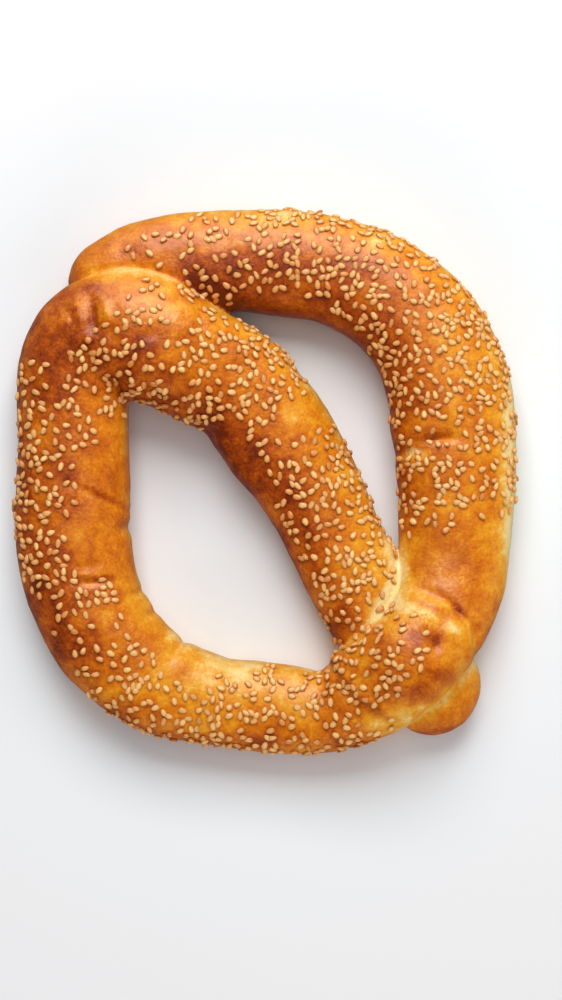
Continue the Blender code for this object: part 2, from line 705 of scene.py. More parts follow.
    def _gaps_to(self, points: Array, leg: int) -> tuple[Array, Array, Array]:
        """Distance of points to one leg's surface: ((|a|^p + |b|^p)^(1/p) - 1) of the section's smaller half.

        Args:
            points: N by 3 places.
            leg: the leg's number.

        Returns:
            The gaps, and each point's distance along and share across.
        """
        cut = self.sections
        own = np.flatnonzero(self._leg_numbers() == leg)
        near = own[np.argmin(squared_gaps(points[:, :2], cut.centre[own]), axis=1)]
        offset = points[:, :2] - cut.centre[near]
        past = (offset * cut.ahead[near]).sum(axis=1)
        sideways = (offset * cut.side[near]).sum(axis=1)
        along = cut.along[near] + past
        nose = np.maximum(np.interp(along, cut.along, cut.nose), self.slimmest)
        half_width = np.interp(along, cut.along, cut.half_width) * nose
        half_height = (np.interp(along, cut.along, cut.crown) + self.sunk) / 2.0
        across = sideways / half_width
        up = (points[:, 2] - (half_height - self.sunk)) / (half_height * nose)
        power = self.section_power
        level = (np.abs(across) ** power + np.abs(up) ** power) ** (1.0 / power)
        gap = (level - 1.0) * np.minimum(half_width, half_height * nose)
        return np.maximum(gap, np.abs(past) - self.overrun), along, across

    def locate(self, points: Array) -> OnRope:
        """Where points of the melted skin lie on the rope: each belongs to the leg whose surface is nearest.

        Args:
            points: N by 3 places.

        Returns:
            Their places on the rope.
        """
        found = [self._gaps_to(points, leg) for leg in Leg]
        gaps, along, across = (np.stack(values) for values in zip(*found))
        leg = np.argmin(gaps, axis=0)
        pick = np.arange(len(points))
        seam = gaps[(leg + 2) % len(Leg), pick]
        return OnRope(along[leg, pick], across[leg, pick], leg, seam)


# ---- Marks, toning and the baked skin ----


class MarkKind(Enum):
    """What a mark does to the skin: a soft hollow or swelling, a furrow with a raised lip, or a step down."""

    HOLLOW = "hollow"
    FURROW = "furrow"
    STEP = "step"


@dataclass(frozen=True)
class Mark:
    """A mark pressed into the skin as seen from above.

    Attributes:
        right: place as a share of the bread's half width.
        up: place as a share of its half length.
        heading: direction of its length, in degrees from the right.
        length: half length in millimetres.
        width: half width in millimetres.
        depth: depth in millimetres; a swelling's is below 0.
        kind: its profile.
    """

    right: float
    up: float
    heading: float
    length: float
    width: float
    depth: float
    kind: MarkKind = MarkKind.HOLLOW

    def press(self, block: Block, points: Array) -> Array:
        """How far points sink, where a and b are shares of its half length ahead and half width to the left.

        A hollow sinks by depth * exp(-a^2 - b^2). A furrow does too, and on its left a lip rises by
        depth * exp(-a^2) * 0.55 exp(-(b - 1.7)^2). A step sinks on its left and rises on its right, by
        depth * exp(-a^2) * 2.33 b exp(-b^2), whose largest value is the depth.

        Args:
            block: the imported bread's box.
            points: N by 3 places.

        Returns:
            N depths in metres.
        """
        spot = block.centre[:2] + block.half[:2] * (self.right, self.up)
        turn = math.radians(self.heading)
        offset = (points[:, :2] - spot) / MM
        a = offset @ (math.cos(turn), math.sin(turn)) / self.length
        b = offset @ (-math.sin(turn), math.cos(turn)) / self.width
        sunk = np.exp(-(a**2) - b**2)
        if self.kind is MarkKind.FURROW:
            sunk = np.exp(-(a**2)) * (np.exp(-(b**2)) - 0.55 * np.exp(-((b - 1.7) ** 2)))
        if self.kind is MarkKind.STEP:
            sunk = np.exp(-(a**2)) * 2.33 * b * np.exp(-(b**2))
        return self.depth * MM * sunk


@dataclass(frozen=True)
class Patch:
    """A soft oval patch of the bread, as seen from above.

    Attributes:
        right: place as a share of the bread's half width.
        up: place as a share of its half length.
        wide: reach to the right in millimetres.
        tall: reach upwards in millimetres.
        amount: what it adds at its middle.
    """

    right: float
    up: float
    wide: float
    tall: float
    amount: float

    def add(self, block: Block, points: Array) -> Array:
        """amount * exp(-((x/wide)^2 + (y/tall)^2)) at each point."""
        offset = points[:, :2] - block.centre[:2] - block.half[:2] * (self.right, self.up)
        return self.amount * np.exp(-((offset / (self.wide * MM, self.tall * MM)) ** 2).sum(axis=1))


def patchwork(patches: tuple[Patch, ...], block: Block, points: Array) -> Array:
    """What all the patches together add at each point."""
    return sum(patch.add(block, points) for patch in patches)


@dataclass(frozen=True)
class CrustFinish:
    """The baked, egg-washed crust: cream where it tore, gold to chestnut by how brown it is, painted shade
    included, softly glossy.

    Attributes:
        dough, cream, gold, amber, chestnut, bark: its colours, from unbaked to nearly burnt.
        stops: how brown the crust is at each of those colours.
        broad, mottle, grain, streak, fibre: widths of the noises that make it uneven.
        pore_gap, blister_gap: how far apart its pores and blisters lie.
        seed_shade_tone: how much browner and darker the crust is right beside a seed, which is painted shade
            round the seed.
        gloss: the roughness of smooth crust.
        egg_wash: the weight of its clear coat.
        relief_depth: the depth of its fine relief.
    """

    dough: Colour = (0.92, 0.74, 0.38)
    cream: Colour = (0.93, 0.64, 0.20)
    gold: Colour = (0.87, 0.375, 0.016)
    amber: Colour = (0.71, 0.190, 0.003)
    chestnut: Colour = (0.43, 0.068, 0.001)
    bark: Colour = (0.17, 0.018, 0.001)
    stops: tuple[float, ...] = (0.0, 0.10, 0.24, 0.45, 0.72, 1.0)
    broad: float = 14 * MM
    mottle: float = 4.5 * MM
    grain: float = 1.2 * MM
    streak: float = 1.5 * MM
    fibre: float = 1.6 * MM
    pore_gap: float = 3.2 * MM
    blister_gap: float = 5.0 * MM
    seed_shade_tone: float = 0.18
    gloss: float = 0.36
    egg_wash: float = 0.28
    relief_depth: float = 0.28 * MM

    def make(self) -> bpy.types.Material:
        """Builds the material from what the skin stores at its points.

        Returns:
            The material.
        """
        r = Recipe("crust")
        spot = r.place()
        browning_and_shade = r.attribute("browning_and_shade")
        seed_shade = r.attribute("seed_shade")
        torn = r.attribute("torn")
        base = r.attribute("base")
        pucker = r.attribute("pucker")
        broad = r.noise(spot, self.broad, 2.0)
        mottle = r.noise(spot, self.mottle, 4.0, 0.62)
        grain = r.noise(spot, self.grain, 3.0, 0.6)
        streaks = r.noise(r.place((1.0, 0.28, 1.0)), self.streak, 3.0, 0.6)
        fibres = r.noise(r.place((1.0, 1.0, 0.4)), self.fibre, 5.0, 0.7)

        # brown crust is the most uneven, and its hue follows how brown it is
        uneven = (broad - 0.5) * 0.54 + (mottle - 0.5) * 0.70 + (grain - 0.5) * 0.5
        uneven = uneven * (browning_and_shade * 0.95 + 0.42) + (streaks - 0.5) * pucker * 0.7
        # painted light and shade enter the tone here: the stored brownness carries the paler light-facing
        # side and the shaded tuck, and the term after it darkens the crust beside each seed
        tone = browning_and_shade + seed_shade * self.seed_shade_tone + uneven
        colours = (self.dough, self.cream, self.gold, self.amber, self.chestnut, self.bark)
        stops = tuple(zip(self.stops, colours))
        crust = r.node("ShaderNodeValToRGB", {"stops": stops}, {"Fac": tone})

        # dark pores, pale blisters, the tears and the underside
        pores = r.specks(spot, self.pore_gap, 0.12) * mottle.ramp(0.48, 0.6)
        blisters = r.specks(spot, self.blister_gap, 0.13) * broad.ramp(0.45, 0.6)
        crust = r.mix(pores * 0.75, crust, self.bark)
        crust = r.mix(blisters * 0.35, crust, self.gold)
        tear = (torn + (fibres - 0.5) * 0.7).ramp(0.25, 0.8)
        crust = r.mix(tear, crust, r.mix(fibres.ramp(0.35, 0.65), self.dough, self.cream))
        under = r.mix(mottle.ramp(0.35, 0.7), self.amber, self.chestnut)
        crust = r.mix(base, crust, under)

        rough = self.gloss + (mottle - 0.5) * 0.25 + tear * 0.25 + base * 0.25
        wash = (self.egg_wash - tear * 0.3 - base * 0.3).at_least(0.0)
        relief = grain * 1.4 + mottle * 0.8 - pores * 0.8 + blisters * 0.5
        relief = relief + streaks * pucker * 2.4 + fibres * tear
        return r.dress(
            Base_Color=crust,
            Roughness=rough,
            Coat_Weight=wash,
            Coat_Roughness=0.26,
            Specular_IOR_Level=0.22,
            Normal=r.bump(relief, self.relief_depth),
        )


@dataclass
class Bread:
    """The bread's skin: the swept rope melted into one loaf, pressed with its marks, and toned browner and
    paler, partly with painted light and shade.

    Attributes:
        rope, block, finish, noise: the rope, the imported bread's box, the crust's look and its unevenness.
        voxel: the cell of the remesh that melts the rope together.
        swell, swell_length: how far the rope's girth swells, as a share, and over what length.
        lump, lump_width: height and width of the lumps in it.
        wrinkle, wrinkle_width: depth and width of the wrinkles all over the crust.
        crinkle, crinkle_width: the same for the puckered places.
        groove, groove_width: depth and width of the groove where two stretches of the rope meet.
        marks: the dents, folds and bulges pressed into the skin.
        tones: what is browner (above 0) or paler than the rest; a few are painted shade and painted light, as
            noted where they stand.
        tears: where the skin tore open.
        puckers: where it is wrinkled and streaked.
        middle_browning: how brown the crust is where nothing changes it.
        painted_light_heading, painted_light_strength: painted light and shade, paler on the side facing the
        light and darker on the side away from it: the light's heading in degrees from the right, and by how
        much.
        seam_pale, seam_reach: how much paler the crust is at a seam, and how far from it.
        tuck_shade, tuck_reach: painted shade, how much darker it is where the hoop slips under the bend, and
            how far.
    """

    rope: Rope
    block: Block
    finish: CrustFinish = field(default_factory=CrustFinish)
    voxel: float = 0.97 * MM
    swell: float = 0.012
    swell_length: float = 22 * MM
    lump: float = 0.35 * MM
    lump_width: float = 13 * MM
    wrinkle: float = 0.16 * MM
    wrinkle_width: float = 5.0 * MM
    crinkle: float = 0.30 * MM
    crinkle_width: float = 2.6 * MM
    groove: float = 0.9 * MM
    groove_width: float = 1.3 * MM
    noise: DoughNoise = field(default_factory=lambda: DoughNoise(11))
    marks: tuple[Mark, ...] = (
        # the puckered dimple on the bend: a ridge on each side of the pit, and streaks beside them
        Mark(-0.728, 0.595, 101, 6.4, 1.6, -0.6),
        Mark(-0.675, 0.595, 103, 5.0, 1.8, 1.4),
        Mark(-0.669, 0.558, 90, 2.0, 1.8, 0.7),
        Mark(-0.620, 0.605, 112, 4.2, 1.9, -0.9),
        Mark(-0.640, 0.655, -35, 4.0, 1.2, -0.5),
        Mark(-0.770, 0.600, 118, 4.5, 1.1, 0.5),
        Mark(-0.600, 0.530, 60, 4.0, 2.0, 0.7),
        Mark(-0.690, 0.510, 0, 5.0, 1.8, -0.6),
        # the bend's soft bumps, its heel over the left opening, and the edges of the crossing strand
        Mark(-0.320, 0.570, 20, 6.5, 5.0, -0.9),
        Mark(-0.255, 0.580, 100, 6.0, 1.2, 0.6),
        Mark(-0.440, 0.530, 30, 5.0, 3.0, 0.7),
        Mark(-0.350, 0.215, -20, 6.0, 3.0, -0.6),
        Mark(-0.235, 0.180, -30, 4.5, 2.6, 1.7),
        Mark(-0.100, 0.050, -58, 9.0, 3.5, -1.3),
        Mark(0.135, 0.405, -50, 6.0, 2.5, 1.3),
        # the soft bulge under the top of the hoop, over the right opening
        Mark(0.060, 0.620, -8, 9.0, 3.0, -1.1),
        # the left band: creases across it, and the notches of its inner side
        Mark(-0.645, -0.060, -27, 9.0, 1.1, 0.8, MarkKind.FURROW),
        Mark(-0.670, -0.360, 4, 6.0, 1.4, 1.3, MarkKind.FURROW),
        Mark(-0.690, -0.300, 8, 6.0, 1.3, 0.6),
        Mark(-0.670, -0.330, 2, 5.0, 1.1, 0.5),
        Mark(-0.545, -0.167, 0, 5.0, 2.4, 1.4),
        Mark(-0.500, -0.400, 15, 4.0, 1.6, 0.8),
        Mark(-0.454, -0.480, 30, 4.0, 1.6, 0.7),
        Mark(-0.343, -0.600, 48, 4.5, 1.7, 1.5),
        Mark(-0.150, -0.690, 80, 4.0, 1.8, 0.6),
        # the uneven inner side of the right band
        Mark(0.494, 0.185, 90, 6.0, 3.0, -1.5),
        Mark(0.494, -0.070, 90, 6.0, 3.0, 1.3),
        Mark(0.494, -0.255, 90, 4.0, 3.0, -1.2),
        # the crack across the right band, and the dent above it
        Mark(0.665, 0.150, 4, 7.5, 1.1, 1.3),
        Mark(0.690, 0.160, 10, 4.5, 2.0, 1.5),
        Mark(0.585, 0.110, 8, 6.0, 2.0, 0.9),
        Mark(0.730, 0.240, 90, 5.0, 1.8, -0.6),
        # the knot: the fold under the right band, the lump's edges, its puckered top, its dent and its flakes
        Mark(0.748, -0.462, 135, 5.0, 1.0, 1.9),
        Mark(0.805, -0.560, -84, 7.0, 2.0, 1.1, MarkKind.STEP),
        Mark(0.655, -0.425, -20, 6.5, 2.4, 1.0, MarkKind.STEP),
        Mark(0.610, -0.480, 25, 4.5, 4.5, -0.8),
        Mark(0.661, -0.584, 80, 3.4, 2.1, 1.6),
        Mark(0.727, -0.530, 60, 4.0, 3.0, -0.9),
        Mark(0.255, -0.672, -50, 3.5, 1.6, 1.4),
        Mark(0.320, -0.745, 130, 6.5, 2.6, 0.9, MarkKind.STEP),
        Mark(0.420, -0.815, 148, 6.5, 2.6, 0.8, MarkKind.STEP),
        Mark(0.330, -0.735, -42, 4.5, 1.2, 0.6),
        Mark(0.500, -0.700, 50, 9.0, 6.0, -0.8),
    )
    tones: tuple[Patch, ...] = (
        # the top of the hoop, from the tucked end; the patch at -0.28, 0.69 is painted shade where the hoop
        # slips under the bend
        Patch(-0.72, 0.70, 8, 4, 0.32), Patch(-0.63, 0.85, 8, 5, 0.12), Patch(-0.28, 0.69, 20, 6, 0.22),
        Patch(-0.05, 0.79, 34, 5, 0.24), Patch(0.10, 0.78, 6, 4, 0.14), Patch(-0.45, 0.93, 14, 6, 0.12),
        Patch(0.05, 0.96, 14, 4, -0.19), Patch(0.44, 0.87, 7, 5, -0.20), Patch(0.39, 0.77, 5, 5, 0.18),
        Patch(0.30, 0.66, 6, 6, 0.18), Patch(0.44, 0.58, 7, 8, 0.15),
        # the right band; the long strip at 0.98, 0.00 is paler down its outer side, as unbaked dough and
        # partly as painted light on that side
        Patch(0.70, 0.54, 6, 12, -0.20), Patch(0.75, 0.40, 8, 9, -0.14), Patch(0.98, 0.00, 5, 40, -0.50),
        Patch(0.85, 0.38, 6, 8, -0.20), Patch(0.92, 0.22, 6, 9, -0.08), Patch(0.74, 0.22, 3, 8, -0.16),
        Patch(0.62, 0.08, 6, 4, -0.12), Patch(0.57, 0.09, 5, 4, -0.25), Patch(0.73, 0.07, 9, 4, -0.10),
        Patch(0.82, 0.10, 7, 14, -0.08), Patch(0.71, -0.08, 9, 7, -0.28), Patch(0.63, -0.19, 6, 4, -0.10),
        Patch(0.82, -0.37, 7, 12, 0.16), Patch(0.58, -0.32, 3, 6, 0.10),
        # the bend
        Patch(-0.85, 0.48, 14, 20, 0.22), Patch(-0.80, 0.46, 9, 9, 0.14), Patch(-0.80, 0.65, 6, 6, 0.12),
        Patch(-0.50, 0.70, 22, 4, -0.06), Patch(-0.60, 0.68, 8, 5, 0.15), Patch(-0.42, 0.68, 8, 5, -0.09),
        # painted shade: the first patch here darkens the crease where the hoop slips under the bend
        Patch(-0.25, 0.68, 5, 3.5, 0.24), Patch(-0.95, 0.38, 4, 9, -0.18),
        # painted shade and light on the dimple: darker in its pit at -0.68, 0.57, paler on its ridges at
        # -0.72, 0.57 and -0.625, 0.59
        Patch(-0.72, 0.57, 1.6, 6, -0.08), Patch(-0.68, 0.57, 2, 5.5, 0.30),
        Patch(-0.625, 0.59, 2.2, 4, -0.20), Patch(-0.47, 0.49, 6, 5, 0.34), Patch(-0.62, 0.34, 6, 4, 0.20),
        Patch(-0.47, 0.60, 5, 4, -0.10), Patch(-0.33, 0.25, 6, 4, -0.10), Patch(-0.47, 0.34, 5, 4, -0.12),
        Patch(-0.27, 0.38, 5, 6, -0.10), Patch(-0.09, 0.34, 5, 5, -0.18), Patch(-0.18, 0.25, 5, 4, 0.15),
        Patch(-0.16, 0.62, 5, 3, 0.12), Patch(-0.18, 0.12, 8, 10, 0.20), Patch(-0.17, 0.19, 4, 4, 0.18),
        # the crossing strand
        Patch(0.10, 0.25, 4, 5, -0.16), Patch(0.21, 0.25, 4, 6, 0.20), Patch(-0.03, 0.05, 8, 12, 0.26),
        Patch(0.01, -0.10, 4, 5, -0.18), Patch(0.11, -0.06, 5, 8, 0.18), Patch(0.16, -0.18, 5, 7, 0.20),
        Patch(0.29, -0.01, 4, 6, -0.15), Patch(0.29, -0.28, 7, 5, -0.20), Patch(0.42, -0.32, 12, 18, -0.20),
        Patch(0.55, -0.29, 4, 12, -0.30), Patch(0.20, -0.45, 4, 6, -0.26), Patch(0.31, -0.45, 3, 5, 0.18),
        # the left band
        Patch(-0.66, 0.03, 10, 12, 0.10), Patch(-0.60, -0.02, 6, 20, 0.10),
        Patch(-0.57, -0.20, 4, 24, 0.09), Patch(-0.43, -0.58, 5, 5, 0.12), Patch(-0.80, 0.06, 7, 18, 0.12),
        Patch(-0.86, 0.16, 5, 4, -0.16), Patch(-0.86, -0.06, 5, 8, -0.13), Patch(-0.82, -0.25, 6, 14, 0.20),
        Patch(-0.90, -0.30, 4, 22, 0.12), Patch(-0.76, -0.19, 5, 5, -0.14), Patch(-0.57, -0.28, 4, 6, 0.15),
        Patch(-0.575, -0.19, 2.5, 2.5, 0.16), Patch(-0.97, -0.36, 4, 5, -0.28),
        Patch(-0.86, -0.50, 9, 16, 0.16), Patch(-0.75, -0.55, 8, 9, 0.12), Patch(-0.80, -0.52, 3, 8, 0.16),
        Patch(-0.88, -0.55, 4, 6, -0.24), Patch(-0.77, -0.68, 5, 6, -0.16), Patch(-0.66, -0.72, 4, 4, 0.14),
        Patch(-0.70, -0.78, 10, 6, -0.36),
        # the bottom band
        Patch(-0.44, -0.74, 13, 7, -0.16), Patch(-0.30, -0.90, 14, 4, -0.12),
        Patch(-0.31, -0.69, 5, 4, 0.14), Patch(-0.10, -0.74, 34, 8, -0.22),
        Patch(-0.20, -0.86, 50, 6, -0.14), Patch(-0.20, -1.00, 50, 4, -0.32),
        Patch(0.10, -0.70, 6, 4, 0.13), Patch(0.01, -0.80, 4, 4, 0.12), Patch(0.12, -0.82, 8, 5, -0.16),
        Patch(-0.28, -0.90, 12, 5, -0.16), Patch(0.15, -0.97, 9, 4, -0.18),
        # the knot
        Patch(0.37, -0.63, 6, 4, -0.18), Patch(0.51, -0.49, 6, 7, -0.16), Patch(0.58, -0.46, 4, 4, -0.20),
        # painted shade: the patch at 0.66, -0.575 darkens the lump's dent, and the one at 0.750, -0.465 the
        # fold under the right band
        Patch(0.58, -0.55, 3, 4, 0.17), Patch(0.66, -0.575, 2.4, 3.4, 0.34), Patch(0.62, -0.54, 6, 4, 0.12),
        Patch(0.78, -0.56, 3, 5, -0.12), Patch(0.750, -0.465, 2.2, 2.6, 0.30),
        Patch(0.73, -0.53, 2.6, 2.8, -0.28), Patch(0.39, -0.73, 5, 4, -0.15),
        Patch(0.60, -0.76, 4, 4, 0.12), Patch(0.66, -0.68, 4, 4, 0.10), Patch(0.70, -0.70, 6, 3, 0.10),
        Patch(0.77, -0.68, 3, 4, -0.20), Patch(0.70, -0.75, 4, 4, -0.22), Patch(0.62, -0.81, 4, 3, -0.22),
        Patch(0.555, -0.85, 4, 3, -0.20), Patch(0.54, -0.82, 10, 5, -0.24),
        Patch(0.46, -0.89, 10, 5, -0.42),
    )
    tears: tuple[Patch, ...] = (
        Patch(0.514, -0.43, 2.5, 4.5, 0.9), Patch(0.585, 0.108, 4.5, 2.2, 0.62),
    )
    puckers: tuple[Patch, ...] = (
        Patch(-0.70, 0.60, 9, 9, 0.8), Patch(-0.30, 0.57, 12, 8, 0.5), Patch(0.61, -0.49, 6, 6, 1.2),
        Patch(0.58, 0.10, 8, 3, 0.9), Patch(-0.68, -0.34, 7, 8, 0.7), Patch(0.42, -0.76, 10, 9, 0.6),
    )
    middle_browning: float = 0.470
    painted_light_heading: float = 60.0
    painted_light_strength: float = 0.30
    seam_pale: float = 0.20
    seam_reach: float = 4.0 * MM
    tuck_shade: float = 0.42
    tuck_reach: float = 7.0 * MM

    def build(self) -> tuple[bpy.types.Object, OnRope]:
        """Builds the skin.

        Returns:
            The piece, and where each of its points lies on the rope.
        """
        mesh = self._melted(self._swept())
        placed = self.rope.locate(point_array(mesh))
        points = self._pressed(mesh, placed)
        mesh.vertices.foreach_set("co", points.astype(np.float32).ravel())
        mesh.polygons.foreach_set("use_smooth", np.ones(len(mesh.polygons), dtype=bool))
        mesh.update()
        normals = point_array(mesh, "normal")
        store(mesh, "browning_and_shade", self._browning_and_shade(points, normals, placed))
        store(mesh, "torn", self._torn(points, placed))
        store(mesh, "pucker", patchwork(self.puckers, self.block, points))
        store(mesh, "base", smooth_step(-normals[:, 2], 0.5, 0.9))
        piece = new_piece("bread", mesh, self.finish.make())
        return piece, placed

    def _swept(self) -> bpy.types.Object:
        """Sweeps the rope's skin as one closed tube that passes through itself, uneven as rolled by hand.

        Returns:
            The tube.
        """
        rope = self.rope
        cut = rope.sections
        turn = np.linspace(0.0, 2.0 * np.pi, rope.sides, endpoint=False)
        line = cut.along[:, None] * (1.0, 0.0, 0.0)
        swell = 1.0 + self.swell * self.noise.at(line, self.swell_length)
        flat = rope.skin(swell, np.zeros((len(swell), rope.sides)), turn)
        lumps = self.noise.layers(flat.reshape(-1, 3), self.lump_width, 2).reshape(flat.shape[:2])
        skin = rope.skin(swell, self.lump * lumps, turn)
        tips = skin[[0, -1]].mean(axis=1)
        points = np.concatenate([skin[1:-1].reshape(-1, 3), tips])
        mesh = new_mesh("dough", points, *tube_faces(len(skin) - 2, rope.sides))
        dough = bpy.data.objects.new("dough", mesh)
        bpy.context.scene.collection.objects.link(dough)
        return dough

    def _melted(self, dough: bpy.types.Object) -> bpy.types.Mesh:
        """Joins the crossing stretches by a voxel remesh and smooths the seams.

        Args:
            dough: the swept tube, which is removed.

        Returns:
            The joined skin.
        """
        melt = dough.modifiers.new("melt", "REMESH")
        melt.mode = "VOXEL"
        melt.voxel_size = self.voxel
        relax = dough.modifiers.new("relax", "SMOOTH")
        relax.factor = 0.5
        relax.iterations = 3
        graph = bpy.context.evaluated_depsgraph_get()
        mesh = bpy.data.meshes.new_from_object(dough.evaluated_get(graph))
        mesh.name = "bread"
        bpy.data.objects.remove(dough)
        return mesh

    def _pressed(self, mesh: bpy.types.Mesh, placed: OnRope) -> Array:
        """The skin's points after the marks, the wrinkles and the flat tray: each moves along its own normal.

        Args:
            mesh: the melted skin.
            placed: where each of its points lies on the rope.

        Returns:
            The points.
        """
        points = point_array(mesh)
        normals = point_array(mesh, "normal")
        upward = smooth_step(normals[:, 2], -0.6, 0.0)
        sunk = upward * sum(mark.press(self.block, points) for mark in self.marks)
        groove = self.groove * np.exp(-((placed.seam / self.groove_width) ** 2))
        wrinkles = self.wrinkle * self.noise.layers(points * (1.0, 1.0, 0.6), self.wrinkle_width, 2)
        pucker = upward * patchwork(self.puckers, self.block, points)
        wrinkles += self.crinkle * pucker * self.noise.layers(points, self.crinkle_width, 2)
        points = points + normals * (wrinkles - sunk - groove)[:, None]
        points[:, 2] = np.maximum(points[:, 2], 0.0)
        return points

    def _browning_and_shade(self, points: Array, normals: Array, placed: OnRope) -> Array:
        """How brown the crust is, 0 to 1, with painted light and shade in it.

        It is paler on the side that faces the light and darker on the side away from it, which is painted
        light and shade. It is paler at a seam, and darker where the top of the hoop slips under the bend,
        which is painted shade. The last two fade as exp(-(d / reach)^2) of the distance d to the seam. The
        patches are added, and count for less on skin that faces down.

        Args:
            points: N by 3 places.
            normals: the skin's directions there.
            placed: where the points lie on the rope.

        Returns:
            N numbers.
        """
        # painted light and shade: paler on the side that faces the light, darker on the side away from it
        turn = math.radians(self.painted_light_heading)
        facing = normals[:, :2] @ (math.cos(turn), math.sin(turn))
        patches = patchwork(self.tones, self.block, points)
        patches *= 0.3 + 0.7 * smooth_step(normals[:, 2], -0.8, -0.1)
        seam = self.seam_pale * np.exp(-((placed.seam / self.seam_reach) ** 2))
        # painted shade: darker where the top of the hoop slips under the bend
        slips = (placed.leg == Leg.TOP) * smooth_step(self.block.shares(points)[0], -0.44, -0.22)
        tuck = self.tuck_shade * slips * np.exp(-((placed.seam / self.tuck_reach) ** 2))
        return np.clip(self.middle_browning - self.painted_light_strength * facing + patches - seam + tuck, 0.0, 1.0)

    def _torn(self, points: Array, placed: OnRope) -> Array:
        """Where the skin tore and shows cream dough: in the tears, and on the strand beside the knot.

        The strip beside the knot follows the seam. It widens upwards from 1.2 mm to 4.6 mm, is weaker low
        down and ends where the crossing strand parts from the right band.

        Args:
            points: N by 3 places.
            placed: where the points lie on the rope.

        Returns:
            N numbers, 0 where the skin is whole and 1 where it is torn.
        """
        right, up = self.block.shares(points)
        wide = smooth_step(up, -0.56, -0.40) * 3.4 * MM + 1.2 * MM
        near = smooth_step(up, -0.64, -0.56) * smooth_step(up, -0.29, -0.40)
        near *= 0.5 + 0.5 * smooth_step(up, -0.54, -0.46)
        own = (placed.leg == Leg.CROSSING) & (right < 0.62)
        strip = near * own * smooth_step(placed.seam, 1.8 * wide, 0.3 * wide)
        return np.clip(strip + patchwork(self.tears, self.block, points), 0.0, 1.0)


# ---- Sesame ----


@dataclass(frozen=True)
class Sprinkle:
    """A stretch of the rope that sesame fell on.

    Attributes:
        start: where it starts, in millimetres along the rope.
        end: where it ends.
        inner: its inner edge, as a share of the half width (-1 is the inner side).
        outer: its outer edge (1 is the outer side).
        share: how thickly it is strewn, 1 where seeds nearly touch.
    """

    start: float
    end: float
    inner: float
    outer: float
    share: float

    def cover(self, placed: OnRope) -> Array:
        """How thickly each point is strewn, fading over 3 mm along and 0.15 of the half width across.

        Args:
            placed: where the points lie on the rope.

        Returns:
            A share for each point.
        """
        along = placed.along / MM
        lengthways = smooth_step(along, self.start - 3.0, self.start + 3.0)
        lengthways *= smooth_step(along, self.end + 3.0, self.end - 3.0)
        crossways = smooth_step(placed.across, self.inner - 0.15, self.inner)
        crossways *= smooth_step(placed.across, self.outer + 0.15, self.outer)
        return self.share * lengthways * crossways


@dataclass(frozen=True)
class SesameFinish:
    """Hulled, toasted sesame: cream to golden, satin, browner in the odd seed, and darker at each seed's
    edge, which is painted shade.
    """

    cream: Colour = (0.97, 0.57, 0.19)
    toasted: Colour = (0.72, 0.24, 0.045)
    rim_shade: Colour = (0.34, 0.075, 0.007)

    def make(self) -> bpy.types.Material:
        """Builds the material from each seed's own toasting, which carries painted shade, and the painted
        shade at its shape's edge.

        Returns:
            The material.
        """
        r = Recipe("sesame")
        toast_and_shade = r.attribute("toast_and_shade")
        rim_shade = r.attribute("rim_shade")
        grain = r.noise(r.place(), 0.8 * MM, 2.0)
        # the seed's tone carries painted shade taken from the crust beneath
        body = r.mix(toast_and_shade + (grain - 0.5) * 0.3, self.cream, self.toasted)
        # painted shade: each seed darkens towards its edge
        colour = r.mix(rim_shade * 0.62, body, self.rim_shade)
        return r.dress(
            Base_Color=colour,
            Roughness=0.42 + (grain - 0.5) * 0.2,
            Specular_IOR_Level=0.5,
            Normal=r.bump(grain, 0.05 * MM),
        )


